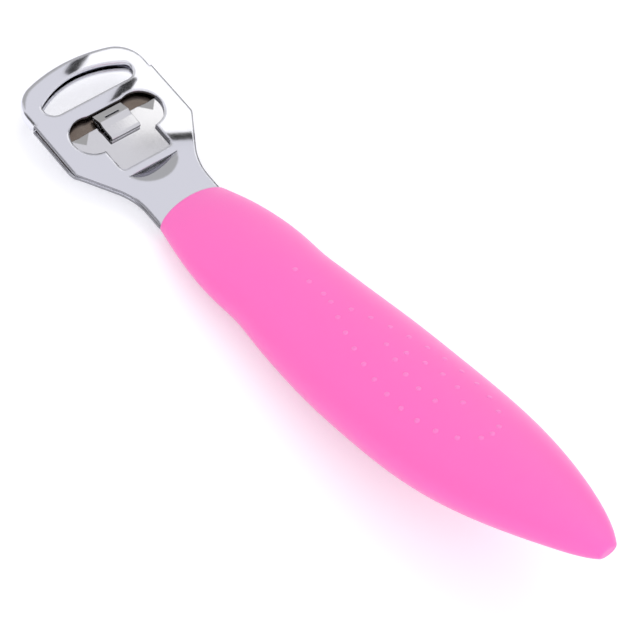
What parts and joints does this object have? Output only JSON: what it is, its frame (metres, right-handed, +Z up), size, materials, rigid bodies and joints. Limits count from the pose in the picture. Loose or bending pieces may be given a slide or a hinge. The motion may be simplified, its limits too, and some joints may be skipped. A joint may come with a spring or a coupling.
{
  "type": "callus shaver",
  "caption": "Hand-held foot callus shaver: bent flat steel head with a slide-in blade under a spring leaf, on a moulded spindle handle.",
  "frame": {"origin": "middle of the bounding box's base, on the surface that the tool lies on", "axes": "+X along the tool from the head's front edge to the handle's tip, +Y across it, +Z up; the blade's sole faces down"},
  "size_m": [0.1666, 0.031, 0.0277],
  "materials": {
    "polished_plate": "stainless sheet, polished bright",
    "spring_steel": "thin spring steel, rolled bright",
    "blade_steel": "thin hardened strip, ground to its edge",
    "handle_plastic": "moulded soft-touch pink plastic, satin"
  },
  "bodies": {
    "shaver": {"upper_plate": "polished_plate", "lower_plate": "polished_plate", "spring_leaf": "spring_steel", "handle": "handle_plastic"},
    "blade": {"blade": "blade_steel"}
  },
  "joints": [
    {"name": "blade_slide", "type": "slide", "parent": "shaver", "child": "blade", "axis": [0, -1, 0], "range_m": [0, 0.022]}
  ]
}
